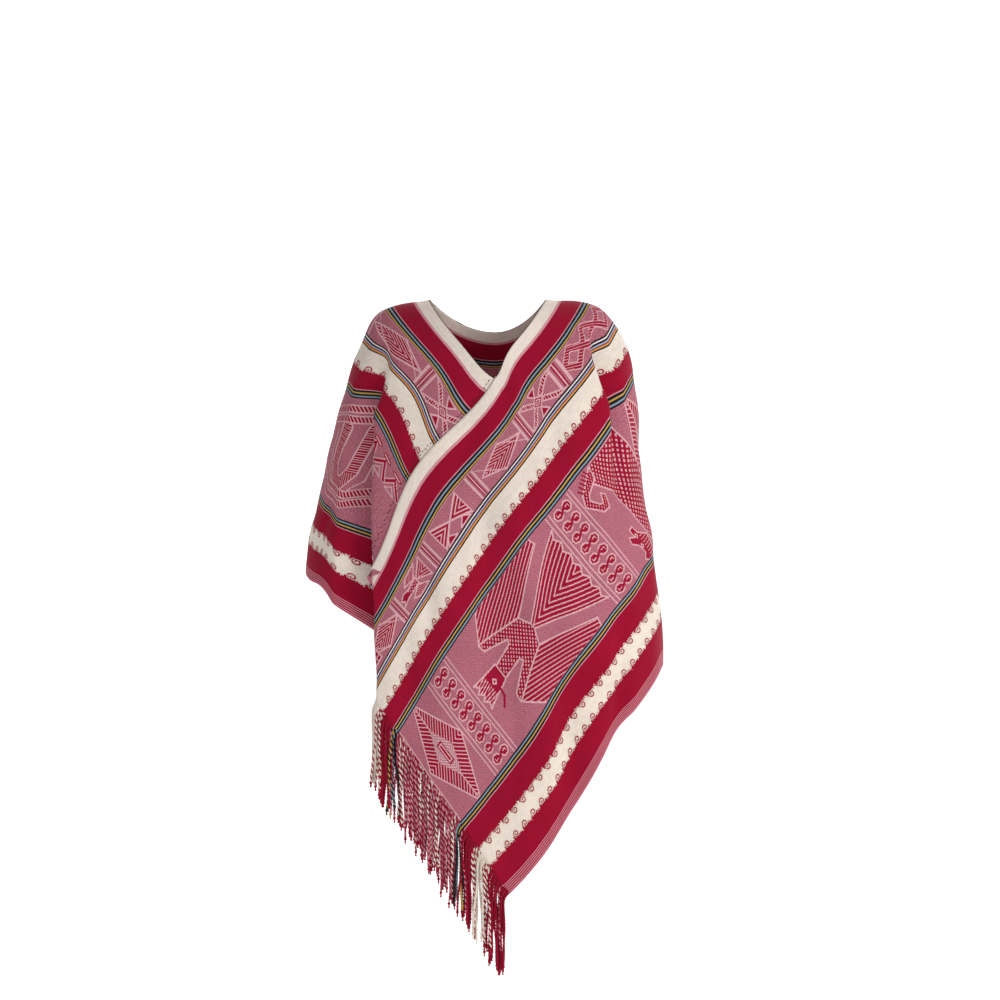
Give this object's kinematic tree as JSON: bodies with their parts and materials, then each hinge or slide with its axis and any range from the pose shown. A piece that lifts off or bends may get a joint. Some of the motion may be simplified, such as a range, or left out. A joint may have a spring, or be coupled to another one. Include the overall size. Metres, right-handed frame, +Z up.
{
  "type": "andean wrap poncho",
  "caption": "Hand-woven wrap poncho in its worn form: a hollow ring of striped cloth round shoulders and arms, with one long fringed corner hanging low in front.",
  "frame": {"origin": "level with the tops of the shoulders, on the middle line of the body, midway between chest and back; the wearer holds the garment up there", "axes": "+Z up; the wearer faces -Y; +X is the wearer's left"},
  "size_m": [0.5716, 0.2673, 1.0677],
  "materials": {
    "right_end": "matte woven wool, crimson with striped borders",
    "back": "matte woven wool, cream and crimson",
    "fringed_end": "matte woven wool, rose with figured bands",
    "fringe": "twisted warp ends with small knots"
  },
  "bodies": {
    "root": {"right_end": "right_end", "back": "back", "fringed_end": "fringed_end", "fringe": "fringe"}
  },
  "joints": []
}
